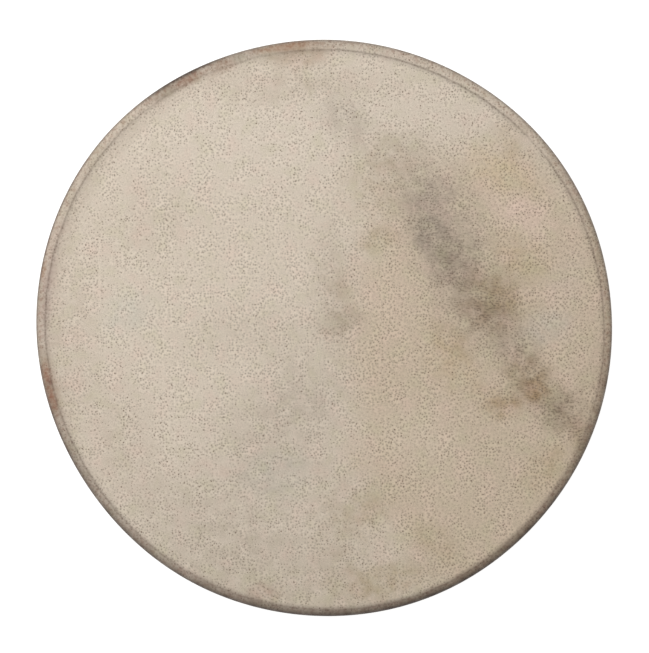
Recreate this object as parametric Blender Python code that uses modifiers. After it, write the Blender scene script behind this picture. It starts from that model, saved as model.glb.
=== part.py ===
"""A ceremonial frame drum, lying on its open back with the drumhead up.

A bent wooden hoop carries a rawhide head. The wet hide is drawn over the hoop's front edge, down
its outside and round its back edge, where one rawhide lace pulls it in to a wooden grip ring.
The model is in metres, with +Z up, and stands on the middle of its underside.
"""

import math

import bmesh
import bpy
from mathutils import Vector

# Driving dimensions, in metres and degrees
DRUM_WIDTH = 0.400  # mean width across the outside of the hide
DRUM_DEPTH = 0.066  # from the underside to the drumhead
HIDE_THICKNESS = 0.0012
HOOP_WALL = 0.0050
HOOP_FRONT_ROUND = 0.0036  # the shoulder that the hide goes over
HOOP_BEARING_ROUND = 0.0006  # the front edge's inner corner
HOOP_BACK_ROUND = 0.0014
FIT_GAP = 0.0003

# The hide's turned-in border, and the holes that the lace goes through
BORDER_SLOPE = 0.013  # from the hoop to the bend, where the lace draws the border up
BORDER_LIP = 0.0135  # from the bend to the tip of a tab
LACE_HOLES = 16
HOLE_INSET = 0.0085  # from a tab's tip to its hole's centre
HOLE_SLACK = 0.0018  # how much wider than the lace a hole is
SCALLOP_DEPTH = 0.0055  # how far the border draws back between two tabs
TAB_ROUNDING = 0.15  # 0 for a pointed tab

# The lace, and the ring that it pulls to
LACE_WIDTH = 0.0028
LACE_CLEARANCE = 0.0006  # from the underside up to the lace under the border
GRIP_RING_WIDTH = 0.064  # across the middle of the ring's section
GRIP_RING_SECTION = 0.0086
GRIP_RING_CLEARANCE = 0.0025  # from the underside up to the lace under the ring

# How far the old hoop is out of round: waves round the rim, their height, and the angle of a crest
RIM_WAVES = ((2, 0.00103, 131.5), (3, 0.00078, 32.0), (4, 0.00018, 57.0), (7, 0.00019, 33.5))

# Faceting
RIM_STEPS = 72
SCALLOP_STEPS = 9
HOLE_STEPS = 10
SHOULDER_STEPS = 4
BACK_CORNER_STEPS = 2
LACE_BENDS = 4  # straight pieces in half a turn of lace
RING_STEPS = 48
RING_SECTION_STEPS = 10
SHARP_ANGLE = 40
MERGE_DISTANCE = 0.00001  # where a turned shape closes on itself
EDGE_SPARE = 0.002  # hide that is turned in past the tabs and then cut away

# What follows from them
DRUM_RADIUS = DRUM_WIDTH / 2
HOOP_OUTER = DRUM_RADIUS - HIDE_THICKNESS - FIT_GAP
HOOP_INNER = HOOP_OUTER - HOOP_WALL
HOOP_TOP = DRUM_DEPTH - HIDE_THICKNESS - FIT_GAP
HOOP_BOTTOM = HIDE_THICKNESS + FIT_GAP
RING_RADIUS = GRIP_RING_WIDTH / 2
HOLE_STEP = 2 * math.pi / LACE_HOLES
HOLE_WIDTH = LACE_WIDTH + HOLE_SLACK
HOLE_RUN = BORDER_SLOPE + BORDER_LIP - HOLE_INSET
# A half turn of lace is faceted, so its corners lie further out than the round that it stands for.
LACE_CORNER = 1 / math.cos(math.pi / LACE_BENDS / 2)
ROUND_HIDE = (HIDE_THICKNESS / 2 + FIT_GAP + LACE_WIDTH / 2) * LACE_CORNER
ROUND_RING = (GRIP_RING_SECTION / 2 + FIT_GAP + LACE_WIDTH / 2) * LACE_CORNER
HOLE_HEIGHT = LACE_CLEARANCE + LACE_WIDTH / 2 + ROUND_HIDE
RING_HEIGHT = GRIP_RING_CLEARANCE + LACE_WIDTH / 2 + ROUND_RING

COLOURS = {
    "rawhide": ((0.565, 0.468, 0.362, 1.0), 0.62),
    "hoop_wood": ((0.352, 0.205, 0.098, 1.0), 0.55),
    "lace_hide": ((0.430, 0.300, 0.175, 1.0), 0.60),
    "ring_wood": ((0.190, 0.098, 0.048, 1.0), 0.45),
}


def clear_scene():
    for obj in list(bpy.data.objects):
        bpy.data.objects.remove(obj, do_unlink=True)


def new_collection(name):
    collection = bpy.data.collections.new(name)
    bpy.context.scene.collection.children.link(collection)
    return collection


def finish_of(name):
    """The plain material of one of the drum's finishes."""
    colour, roughness = COLOURS[name]
    material = bpy.data.materials.new(name)
    material.use_nodes = True
    shader = material.node_tree.nodes["Principled BSDF"]
    shader.inputs["Base Color"].default_value = colour
    shader.inputs["Roughness"].default_value = roughness
    shader.inputs["Metallic"].default_value = 0.0
    return material


def add_object(name, data, collection, finish=None):
    obj = bpy.data.objects.new(name, data)
    collection.objects.link(obj)
    if finish:
        data.materials.append(finish_of(finish))
    return obj


def rim_wave(angle):
    """How far the rim stands out from a true circle at this angle."""
    return sum(
        height * math.cos(waves * (angle - math.radians(crest))) for waves, height, crest in RIM_WAVES
    )


def rim_middle():
    """The middle of the box round the drum's outline, which stands over the origin."""
    angles = [2 * math.pi * step / RIM_STEPS for step in range(RIM_STEPS)]
    radii = [DRUM_RADIUS + rim_wave(angle) for angle in angles]
    across = [radius * math.cos(angle) for radius, angle in zip(radii, angles)]
    along = [radius * math.sin(angle) for radius, angle in zip(radii, angles)]
    return Vector(((max(across) + min(across)) / 2, (max(along) + min(along)) / 2, 0))


MIDDLE = rim_middle()


def place(angle, radius, height):
    """The point of the drum that a true round drum would have at this angle and radius."""
    share = min(1.0, radius / HOOP_INNER)
    pressed = radius + share * rim_wave(angle)
    return Vector((pressed * math.cos(angle), pressed * math.sin(angle), height)) - MIDDLE


def press_out_of_round(mesh):
    """Moves a true turned shape's points onto the old hoop's uneven outline."""
    for vertex in mesh.vertices:
        x, y, height = vertex.co
        vertex.co = place(math.atan2(y, x), math.hypot(x, y), height)


def arc(middle, radius, start, end, steps):
    """Points of (radius, height) round an arc, from start to end in degrees; 90 is straight up."""
    angles = [math.radians(start + (end - start) * step / steps) for step in range(steps + 1)]
    return [(middle[0] + radius * math.cos(a), middle[1] + radius * math.sin(a)) for a in angles]


def hoop_outside(offset, last_angle):
    """The path, this far outside the hoop's wood, over its shoulder and round its back edge."""
    shoulder = (HOOP_OUTER - HOOP_FRONT_ROUND, HOOP_TOP - HOOP_FRONT_ROUND)
    heel = (HOOP_OUTER - HOOP_BACK_ROUND, HOOP_BOTTOM + HOOP_BACK_ROUND)
    toe = (HOOP_INNER + HOOP_BACK_ROUND, HOOP_BOTTOM + HOOP_BACK_ROUND)
    return (
        arc(shoulder, HOOP_FRONT_ROUND + offset, 90, 0, SHOULDER_STEPS)
        + arc(heel, HOOP_BACK_ROUND + offset, 0, -90, BACK_CORNER_STEPS)
        + arc(toe, HOOP_BACK_ROUND + offset, -90, last_angle, BACK_CORNER_STEPS)
    )


def turned(name, profile, collection, on_axis):
    """A closed shape turned about the Z axis from a profile that runs down its outer side."""
    mesh = bpy.data.meshes.new(name)
    edges = [(i, i + 1) for i in range(len(profile) - 1)]
    if not on_axis:
        edges.append((len(profile) - 1, 0))
    mesh.from_pydata([(radius, 0, height) for radius, height in profile], edges, [])
    blank = add_object(name + "_blank", mesh, collection)
    screw = blank.modifiers.new("Turn", "SCREW")
    screw.axis = "Z"
    screw.angle = 2 * math.pi
    screw.steps = RIM_STEPS
    screw.render_steps = RIM_STEPS
    screw.use_merge_vertices = True
    screw.merge_threshold = MERGE_DISTANCE
    screw.use_smooth_shade = True
    bpy.context.view_layer.update()
    graph = bpy.context.evaluated_depsgraph_get()
    solid = bpy.data.meshes.new_from_object(blank.evaluated_get(graph))
    bpy.data.objects.remove(blank, do_unlink=True)
    solid.name = name
    return solid


def build_hoop(collection):
    """The bent wooden hoop: a thin band with a rounded shoulder at the front."""
    bearing = (HOOP_INNER + HOOP_BEARING_ROUND, HOOP_TOP - HOOP_BEARING_ROUND)
    profile = hoop_outside(0, -180) + arc(bearing, HOOP_BEARING_ROUND, 180, 90, BACK_CORNER_STEPS)
    mesh = turned("hoop", profile, collection, on_axis=False)
    press_out_of_round(mesh)
    mesh.set_sharp_from_angle(angle=math.radians(SHARP_ANGLE))
    return add_object("hoop", mesh, collection, "hoop_wood")


def lip_rise():
    """How steeply the tabs rise: along the lace's pull, from a hole to the ring."""
    return math.atan2(RING_HEIGHT - HOLE_HEIGHT, HOOP_INNER - HOLE_RUN - RING_RADIUS)


def slope_rise():
    """How steeply the border rises from the hoop, so that its holes come at their height."""
    reach = HOOP_BACK_ROUND + FIT_GAP + HIDE_THICKNESS / 2
    lip = (HOLE_RUN - BORDER_SLOPE) * math.sin(lip_rise())
    lift = HOLE_HEIGHT - HOOP_BOTTOM - HOOP_BACK_ROUND - lip
    return math.asin(lift / math.hypot(BORDER_SLOPE, reach)) + math.atan2(reach, BORDER_SLOPE)


LIP_RISE = lip_rise()
SLOPE_RISE = slope_rise()


def border_middle(run):
    """The middle of the hide's thickness this far in along the turned-in border."""
    reach = HOOP_BACK_ROUND + FIT_GAP + HIDE_THICKNESS / 2
    slope = min(run, BORDER_SLOPE)
    lip = run - slope
    radius = HOOP_INNER + HOOP_BACK_ROUND - reach * math.sin(SLOPE_RISE)
    radius -= slope * math.cos(SLOPE_RISE) + lip * math.cos(LIP_RISE)
    height = HOOP_BOTTOM + HOOP_BACK_ROUND - reach * math.cos(SLOPE_RISE)
    height += slope * math.sin(SLOPE_RISE) + lip * math.sin(LIP_RISE)
    return radius, height


def border_side(run, rise, side):
    """The border's face above its middle (side 1) or below it (-1), where the border rises so."""
    radius, height = border_middle(run)
    half = side * HIDE_THICKNESS / 2
    return radius + half * math.sin(rise), height + half * math.cos(rise)


def border_edge(angle):
    """The radius of the border's cut edge: a tab at each lace hole, drawn back between them."""
    between = math.hypot(math.sin(angle * LACE_HOLES / 2), TAB_ROUNDING) - TAB_ROUNDING
    return border_middle(BORDER_SLOPE + BORDER_LIP)[0] + SCALLOP_DEPTH * between


def build_border_cutter(collection):
    """What is cut from the border: the scalloped opening, and a pin for each lace hole."""
    shape = bmesh.new()
    corners = SCALLOP_STEPS * LACE_HOLES
    low = -DRUM_DEPTH / 4
    high = DRUM_DEPTH / 2
    outline = []
    for corner in range(corners):
        angle = 2 * math.pi * (corner + 0.5) / corners
        outline.append(shape.verts.new(place(angle, border_edge(angle), low)))
    floor = shape.faces.new(outline)
    raised = bmesh.ops.extrude_face_region(shape, geom=[floor])["geom"]
    lifted = [item for item in raised if isinstance(item, bmesh.types.BMVert)]
    bmesh.ops.translate(shape, verts=lifted, vec=(0, 0, high - low))
    for hole in range(LACE_HOLES):
        pin = bmesh.ops.create_cone(
            shape,
            cap_ends=True,
            segments=HOLE_STEPS,
            radius1=HOLE_WIDTH / 2,
            radius2=HOLE_WIDTH / 2,
            depth=high - low,
        )
        middle = place(hole * HOLE_STEP, border_middle(HOLE_RUN)[0], (high + low) / 2)
        bmesh.ops.translate(shape, verts=pin["verts"], vec=middle)
    bmesh.ops.recalc_face_normals(shape, faces=shape.faces)
    mesh = bpy.data.meshes.new("border_cutter")
    shape.to_mesh(mesh)
    shape.free()
    cutter = add_object("border_cutter", mesh, collection)
    cutter.hide_render = True
    cutter.display_type = "WIRE"
    return cutter


def build_head(collection, cutters):
    """The rawhide head: the drumhead, its sides and its turned-in border, in one piece of hide."""
    leaving = -90 - math.degrees(SLOPE_RISE)
    bend = (BORDER_SLOPE, (SLOPE_RISE + LIP_RISE) / 2)
    edge = (BORDER_SLOPE + BORDER_LIP + EDGE_SPARE, LIP_RISE)
    outside = [(0, DRUM_DEPTH)] + hoop_outside(FIT_GAP + HIDE_THICKNESS, leaving)
    outside += [border_side(*bend, -1), border_side(*edge, -1)]
    inside = [(0, DRUM_DEPTH - HIDE_THICKNESS)] + hoop_outside(FIT_GAP, leaving)
    inside += [border_side(*bend, 1), border_side(*edge, 1)]
    mesh = turned("head", outside + inside[::-1], collection, on_axis=True)
    press_out_of_round(mesh)
    mesh.set_sharp_from_angle(angle=math.radians(SHARP_ANGLE))
    head = add_object("head", mesh, collection, "rawhide")
    cut = head.modifiers.new("Scallops and lace holes", "BOOLEAN")
    cut.operation = "DIFFERENCE"
    cut.object = build_border_cutter(cutters)
    return head


def half_turn(angle, middle, reach, start, end):
    """Points of a half turn of lace in the upright plane at this angle."""
    return [place(angle, radius, height) for radius, height in arc(middle, reach, start, end, LACE_BENDS)]


def lace_route():
    """The lace's closed route: out below the border, up through a hole, and back over the ring."""
    at_hide = (border_middle(HOLE_RUN)[0] - ROUND_HIDE, HOLE_HEIGHT)
    at_ring = (RING_RADIUS, RING_HEIGHT)
    route = []
    for hole in range(LACE_HOLES):
        before = (hole - 0.5) * HOLE_STEP
        route += half_turn(before, at_ring, ROUND_RING, 90, 270)
        route += half_turn(hole * HOLE_STEP, at_hide, ROUND_HIDE, -90, 90)
    return route


def build_lacing(collection):
    """The one rawhide lace, its two ends joined, that pulls the border towards the grip ring."""
    curve = bpy.data.curves.new("lacing", "CURVE")
    curve.dimensions = "3D"
    curve.bevel_depth = LACE_WIDTH / 2
    curve.bevel_resolution = 1
    curve.use_fill_caps = True
    spline = curve.splines.new("POLY")
    route = lace_route()
    spline.points.add(len(route) - 1)
    for point, place_of in zip(spline.points, route):
        point.co = (*place_of, 1)
    spline.use_cyclic_u = True
    return add_object("lacing", curve, collection, "lace_hide")


def build_grip_ring(collection):
    """The turned wooden ring that the drum is held by."""
    bpy.ops.mesh.primitive_torus_add(
        major_radius=RING_RADIUS,
        minor_radius=GRIP_RING_SECTION / 2,
        major_segments=RING_STEPS,
        minor_segments=RING_SECTION_STEPS,
        location=(0, 0, RING_HEIGHT),
    )
    ring = bpy.context.object
    ring.name = "grip_ring"
    ring.data.name = "grip_ring"
    press_out_of_round(ring.data)
    ring.data.shade_smooth()
    ring.data.materials.append(finish_of("ring_wood"))
    for holder in list(ring.users_collection):
        holder.objects.unlink(ring)
    collection.objects.link(ring)
    return ring


def main():
    clear_scene()
    drum = new_collection("ceremonial_drum")
    cutters = new_collection("cutters")
    build_hoop(drum)
    build_head(drum, cutters)
    build_lacing(drum)
    build_grip_ring(drum)


main()
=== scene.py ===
"""Dresses the ceremonial frame drum: rawhide head, bent hoop, twisted lace and grip ring.

The script is laid out as a Blender add-on and is run as a script. Lengths are in metres and angles
in radians, unless a name or a comment says millimetres or degrees. The drum lies on its open back
with the drumhead up, and +Y points to the top of the photograph.
"""

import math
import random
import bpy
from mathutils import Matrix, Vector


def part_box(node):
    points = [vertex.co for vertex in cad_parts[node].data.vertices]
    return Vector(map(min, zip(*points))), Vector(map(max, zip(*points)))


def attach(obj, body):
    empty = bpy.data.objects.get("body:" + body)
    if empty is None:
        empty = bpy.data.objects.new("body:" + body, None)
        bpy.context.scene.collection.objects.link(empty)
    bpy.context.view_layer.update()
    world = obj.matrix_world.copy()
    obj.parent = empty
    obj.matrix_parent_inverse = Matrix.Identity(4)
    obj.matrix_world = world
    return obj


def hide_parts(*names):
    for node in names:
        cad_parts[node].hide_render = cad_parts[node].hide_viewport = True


bl_info = {
    "name": "Rawhide Frame Drum",
    "version": (1, 0, 0),
    "blender": (4, 5, 0),
    "location": "3D View > Sidebar > Drum",
    "description": "Builds the pieces of a laced rawhide frame drum and a light table to show it on",
    "category": "Object",
}

from functools import partial

import bpy
import numpy as np
from mathutils import Vector

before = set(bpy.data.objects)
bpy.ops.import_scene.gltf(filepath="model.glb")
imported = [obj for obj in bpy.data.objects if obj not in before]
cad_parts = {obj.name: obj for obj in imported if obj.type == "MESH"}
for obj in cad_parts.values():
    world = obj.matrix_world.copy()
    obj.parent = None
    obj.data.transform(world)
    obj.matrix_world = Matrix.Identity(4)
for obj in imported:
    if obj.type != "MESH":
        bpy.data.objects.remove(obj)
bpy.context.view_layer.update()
HEAD_LOW, HEAD_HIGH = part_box("head")
MM = 0.001

# The photograph's frame, in its own pixels
PHOTO_SIZE = (649, 653)
PHOTO_MIDDLE = (324.45, 327.0)
PHOTO_RADIUS = 288.2
LENS = 120.0
SENSOR = 36.0

# How far the old hoop is out of round: waves round the rim, their height, and a crest's degrees
RIM_WAVES = ((2, 0.00103, 131.5), (3, 0.00078, 32.0), (4, 0.00018, 57.0), (7, 0.00019, 33.5))
RIM_STEPS = 72

# How far in from the outline the hoop's edge shows in the hide: its mean, and waves as above
CREASE_INSET = 0.00635
CREASE_WAVES = ((1, 0.00145, 108.5), (2, 0.00032, 33.7), (3, 0.00006, 85.5))
CREASE_UNEVEN = 0.00016
CREASE_WIDTH = 0.00055
# How plainly it shows at an angle, from 0 to 1
CREASE_DEPTH = (
    (0, 0.75), (20, 0.75), (34, 0.8), (41, 0.2), (48, 0.8), (66, 0.95), (82, 0.8), (95, 0.5),
    (110, 0.3), (128, 0.35), (146, 0.6), (168, 0.65), (200, 0.65), (222, 0.6), (236, 0.35),
    (255, 0.5), (300, 0.6), (320, 0.45), (340, 0.35), (352, 0.45),
)

# As in the construction model, which keeps a faceted round lace clear of what it goes round
ROUND_LACE = 0.0014
ROUND_LACE_CORNER = 1 / math.cos(math.pi / 8)
# The lace's lowest point at a hole and at the ring
LOWEST_AT_HOLE = 0.0006
LOWEST_AT_RING = 0.0025


def linear(code):
    """An sRGB hex colour as linear RGB."""
    parts = [int(code[i : i + 2], 16) / 255 for i in (1, 3, 5)]
    return tuple(p / 12.92 if p <= 0.04045 else ((p + 0.055) / 1.055) ** 2.4 for p in parts)


def smooth(low, high, value):
    """0 below low, 1 above high, and an even rise between them."""
    t = np.clip((value - low) / (high - low), 0, 1)
    return t * t * (3 - 2 * t)


def waves(table, angle):
    """The sum of a table's waves round the drum at these angles."""
    return sum(height * np.cos(count * (angle - math.radians(crest))) for count, height, crest in table)


def random_waves(seed, counts, angle):
    """A sum of waves round the drum with these counts and seeded phases, about -1 to 1."""
    draw = random.Random(seed)
    total = 0 * angle
    for count in counts:
        total = total + np.cos(count * angle + draw.uniform(0, 2 * math.pi))
    return total / math.sqrt(len(counts))


def round_table(table, angle):
    """A table of (degrees, value) read at these angles, round the drum."""
    degrees, values = zip(*table)
    return np.interp(np.degrees(angle) % 360, degrees, values, period=360)


def stations(low, high, count, first=1):
    """Places that divide the way from low to high into count steps, from the first one on."""
    return [low + (high - low) * step / count for step in range(first, count + first)]


def size_property(name, description, default):
    """A user's size in metres."""
    return bpy.props.FloatProperty(
        name=name, description=description, default=default, unit="LENGTH"
    )


def colour_property(name, description, code):
    """A user's colour, with an sRGB hex code as its default."""
    return bpy.props.FloatVectorProperty(
        name=name, description=description, default=linear(code), subtype="COLOR"
    )


def angle_property(name, description, degrees):
    """A user's angle, with its default in degrees."""
    return bpy.props.FloatProperty(
        name=name, description=description, default=math.radians(degrees), subtype="ANGLE"
    )


class DrumSizes(bpy.types.PropertyGroup):
    """Sizes of the drum's pieces."""

    width: size_property("Width", "Mean width across the hide", 0.400)
    depth: size_property("Depth", "From the underside to the drumhead", HEAD_HIGH.z - HEAD_LOW.z)
    hide: size_property("Hide Thickness", "Thickness of the rawhide", 0.0012)
    hoop_wall: size_property("Hoop Wall", "Thickness of the bent wood", 0.005)
    front_round: size_property("Front Round", "Radius of the hoop's shoulder", 0.0036)
    back_round: size_property("Back Round", "Radius of the hoop's back edges", 0.0014)
    fit: size_property("Fit", "Gap between the hide and the hoop", 0.0003)
    crease: size_property("Crease", "Depth of the groove at the hoop's edge", 0.00032)
    sink: size_property("Sink", "How far the drumhead sits below the rim", 0.00025)
    pleat: size_property("Pleats", "Height of the pleats in the hide's sides", 0.0010)
    slope: size_property("Border Slope", "Border from the hoop to its bend", 0.013)
    lip: size_property("Border Lip", "Border from its bend to a tab's tip", 0.0135)
    hole_inset: size_property("Hole Inset", "From a tab's tip to its lace hole", 0.0085)
    hole_width: size_property("Hole Width", "Width of a lace hole", 0.0046)
    scallop: size_property("Scallop", "How far the border draws back between tabs", 0.0055)
    curl: size_property("Curl", "How far the dry edge curls up between tabs", 0.0016)
    holes: bpy.props.IntProperty(name="Lace Holes", description="Number of lace holes", default=16)
    lace_width: size_property("Lace Width", "Width of the flat lace", 0.0033)
    lace_thickness: size_property("Lace Thickness", "Thickness of the flat lace", 0.0021)
    ring_width: size_property("Ring Width", "Across the middle of the ring's section", 0.064)
    ring_section: size_property("Ring Section", "Thickness of the grip ring", 0.0086)
    follicle: size_property("Follicles", "Spacing of the hair follicles", 0.0021)


class DrumColours(bpy.types.PropertyGroup):
    """Colours of the drum's hide and wood."""

    hide: colour_property("Hide", "Scraped rawhide", "#d4c6b4")
    # Partly the hide's own colour, partly painted light falling off towards the lower right
    flank_and_shade: colour_property("Flank", "The yellower half of the hide", "#c7b59e")
    follicle: colour_property("Follicles", "Hair roots in the hide", "#6e5846")
    # Laid on the rim both as darkening by handling and as painted shade, darkest on the lower right
    # shoulder
    patina_and_shade: colour_property("Patina", "Hide darkened by handling", "#3e2c20")
    flesh: colour_property("Flesh Side", "The hide's inner side", "#cdb48c")
    hoop: colour_property("Hoop", "Bent ash", "#a67c4c")
    lace: colour_property("Lace", "Twisted rawhide", "#b08d5c")
    ring: colour_property("Grip Ring", "Turned cherry", "#7a4a2a")


class DrumStage(bpy.types.PropertyGroup):
    """The light table and the studio lights."""

    table: size_property("Table", "Width of the light table", 8.0)
    table_light: bpy.props.FloatProperty(
        name="Table Light", description="Glow of the table", default=0.88
    )
    sky: bpy.props.FloatProperty(
        name="Room Light", description="Strength of the even light", default=0.40
    )
    key: bpy.props.FloatProperty(
        name="Key Light", description="Power of the soft key", default=14.0, unit="POWER"
    )
    key_size: size_property("Key Size", "Width of the soft key", 0.9)
    key_height: angle_property("Key Elevation", "Angle of the key above the table", 64)
    key_side: angle_property("Key Side", "Angle of the key round the drum", 138)
    key_reach: size_property("Key Distance", "From the drum to the key", 1.6)


class DrumForm:
    """The drum's form, worked out from its sizes: what every piece is laid out from."""

    def __init__(self, sizes):
        self.sizes = sizes
        self.radius = sizes.width / 2
        self.hoop_outer = self.radius - sizes.hide - sizes.fit
        self.hoop_inner = self.hoop_outer - sizes.hoop_wall
        self.hoop_top = sizes.depth - sizes.hide - sizes.fit
        self.hoop_bottom = sizes.hide + sizes.fit
        self.hole_step = 2 * math.pi / sizes.holes
        self.hole_run = sizes.slope + sizes.lip - sizes.hole_inset
        self.middle = self.rim_middle()
        round_hide = (sizes.hide / 2 + sizes.fit + ROUND_LACE) * ROUND_LACE_CORNER
        round_ring = (sizes.ring_section / 2 + sizes.fit + ROUND_LACE) * ROUND_LACE_CORNER
        self.hole_height = LOWEST_AT_HOLE + ROUND_LACE + round_hide
        self.ring_height = LOWEST_AT_RING + ROUND_LACE + round_ring
        self.ring_radius = sizes.ring_width / 2
        self.lay_hide()

    def rim_middle(self):
        """The middle of the box round the drum's outline, which stands over the origin."""
        angle = 2 * math.pi * np.arange(RIM_STEPS) / RIM_STEPS
        radius = self.radius + waves(RIM_WAVES, angle)
        across, along = radius * np.cos(angle), radius * np.sin(angle)
        return (across.max() + across.min()) / 2, (along.max() + along.min()) / 2

    def place(self, angle, radius, height):
        """Points of the old drum where a true round one has this angle, radius and height."""
        pressed = radius + np.minimum(1, radius / self.hoop_inner) * waves(RIM_WAVES, angle)
        x = pressed * np.cos(angle) - self.middle[0]
        y = pressed * np.sin(angle) - self.middle[1]
        return np.stack(np.broadcast_arrays(x, y, height), axis=-1)

    def lay_hide(self):
        """Lays the hide's middle line from the drum's axis round the hoop to a tab's tip."""
        s = self.sizes
        half = s.hide / 2
        shoulder = s.front_round + s.fit + half
        corner = s.back_round + s.fit + half
        lip_rise = math.atan2(
            self.ring_height - self.hole_height, self.hoop_inner - self.hole_run - self.ring_radius
        )
        lip = (self.hole_run - s.slope) * math.sin(lip_rise)
        lift = self.hole_height - self.hoop_bottom - s.back_round - lip
        rise = math.asin(lift / math.hypot(s.slope, corner)) + math.atan2(corner, s.slope)
        bend = 0.006
        spare = 0.002
        # Each stretch's length and how many degrees it turns by: drumhead, shoulder, side, heel,
        # bearing on the hoop's back, toe, border slope, its bend, and the lip
        runs = (
            (self.hoop_outer - s.front_round, 0),
            (shoulder * math.pi / 2, -90),
            (self.hoop_top - s.front_round - self.hoop_bottom - s.back_round, 0),
            (corner * math.pi / 2, -90),
            (s.hoop_wall - 2 * s.back_round, 0),
            (corner * rise, -math.degrees(rise)),
            (s.slope - bend / 2, 0),
            (bend, math.degrees(rise - lip_rise)),
            (s.lip - bend / 2 + spare, 0),
        )
        step = 0.00002
        path, turn, marks = [0.0], [0.0], [0.0]
        for length, degrees in runs:
            count = max(2, round(length / step))
            piece = np.linspace(0, 1, count + 1)[1:]
            path.extend(marks[-1] + length * piece)
            turn.extend(turn[-1] + math.radians(degrees) * piece)
            marks.append(marks[-1] + length)
        path, turn = np.array(path), np.array(turn)
        lengths = np.diff(path)
        middle_turn = (turn[1:] + turn[:-1]) / 2
        radius = np.concatenate([[0], np.cumsum(lengths * np.cos(middle_turn))])
        height = s.depth - half + np.concatenate([[0], np.cumsum(lengths * np.sin(middle_turn))])
        self.line = (path, radius, height, turn)
        _, self.face_end, self.shoulder_end, self.side_end, self.heel_end = marks[:5]
        self.bearing_end, self.border_start = marks[5:7]

    def hide_at(self, path, lift):
        """Radius and height of the hide this far along its line, lift outside its middle line."""
        along, radius, height, turn = self.line
        direction = np.interp(path, along, turn)
        return (
            np.interp(path, along, radius) - lift * np.sin(direction),
            np.interp(path, along, height) + lift * np.cos(direction),
        )

    def crease_path(self, angle):
        """Where on the hide's line the hoop's edge shows."""
        uneven = CREASE_UNEVEN * random_waves(41, (23, 37, 58, 83), angle)
        return self.radius - CREASE_INSET - waves(CREASE_WAVES, angle) + uneven

    def border_run(self, angle):
        """How far in the border's cut edge lies: a tab at each hole, drawn back between them."""
        s = self.sizes
        rounding = 0.15
        between = np.hypot(np.sin(angle * s.holes / 2), rounding) - rounding
        uneven = 0.00035 * random_waves(11, (19, 27, 41, 53), angle) * between
        return s.slope + s.lip - s.scallop * between + uneven, between


def feed(node, inputs):
    """Sets each input, or links it from a socket, or from the first output of another node."""
    for key, value in inputs.items():
        if isinstance(value, bpy.types.Node):
            value = value.outputs[0]
        if isinstance(value, bpy.types.NodeSocket):
            node.id_data.links.new(value, node.inputs[key])
        else:
            node.inputs[key].default_value = value


def add_node(tree, kind, inputs=(), **settings):
    """Adds a node with its settings, and feeds its inputs: by name or number, or in their order."""
    node = tree.nodes.new("ShaderNode" + kind)
    for name, value in settings.items():
        setattr(node, name, value)
    feed(node, inputs if isinstance(inputs, dict) else dict(enumerate(inputs)))
    return node


# The inputs of a Mix node that mixes colours, and its colour output. A MapRange node's inputs in
# their order are the value, the two ends that it comes from and the two that it goes to.
FACTOR, FIRST, SECOND, MIXED = 0, 6, 7, 2


def scale_of(size):
    """The scale of a pattern whose features are this many millimetres apart."""
    return 1 / (size * MM)


def opaque(colour):
    """A colour as a node takes it: from a hex code or its three parts, or already linked."""
    if isinstance(colour, (bpy.types.Node, bpy.types.NodeSocket)):
        return colour
    return (*(linear(colour) if isinstance(colour, str) else colour), 1.0)


def new_material(name, roughness, ior=1.5):
    """A material with a plain Principled BSDF: it, what adds a node to it, and the shader."""
    material = bpy.data.materials.new(name)
    material.use_nodes = True
    shader = material.node_tree.nodes["Principled BSDF"]
    feed(shader, {"Roughness": roughness, "IOR": ior, "Metallic": 0.0})
    return material, partial(add_node, material.node_tree), shader


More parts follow.
